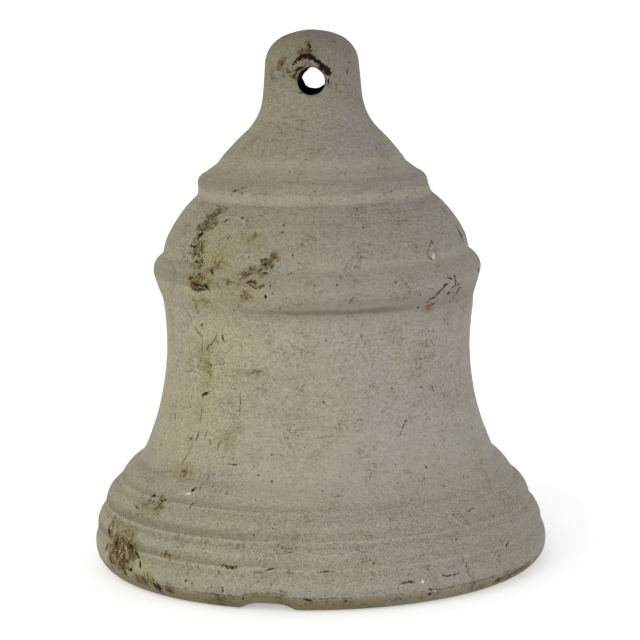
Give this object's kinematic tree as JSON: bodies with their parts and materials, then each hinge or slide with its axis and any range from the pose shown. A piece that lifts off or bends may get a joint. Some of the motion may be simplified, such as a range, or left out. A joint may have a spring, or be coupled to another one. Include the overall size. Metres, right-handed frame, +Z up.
{
  "type": "yard dinner bell",
  "caption": "Cast yard bell with a drilled knob to hang it by, moulded shoulder and rim, and a ball clapper that swings on a pinned clevis inside.",
  "frame": {"origin": "centre of the mouth, on the plane that the rim stands on", "axes": "+Z up through the knob, +Y along the hanging hole and the clapper's pin, -Y towards the side with the chipped rim"},
  "size_m": [0.2552, 0.2552, 0.2983],
  "materials": {
    "painted_casting": "old off-white paint, matt, stained, pitted and chipped to rust",
    "bare_casting": "bare iron with brown rust",
    "rusted_steel": "dull forged steel with brown rust"
  },
  "bodies": {
    "bell": {"bell_casting": "painted_casting", "hanger_eyebolt": "rusted_steel", "hanger_washer": "rusted_steel", "hanger_nut": "rusted_steel"},
    "clapper": {"clapper_clevis": "rusted_steel", "clevis_pin": "rusted_steel", "clevis_pin_washer": "rusted_steel", "split_pin": "rusted_steel", "clevis_nut": "rusted_steel", "clapper_shank": "rusted_steel", "ball_nut": "rusted_steel", "ball_washer": "rusted_steel", "clapper_ball": "bare_casting", "pull_eye": "rusted_steel"}
  },
  "joints": [
    {"name": "clapper_swing", "type": "hinge", "parent": "bell", "child": "clapper", "pos_m": [0, 0, 0.188], "axis": [0, 1, 0], "range_deg": [-29.8, 29.8]}
  ]
}
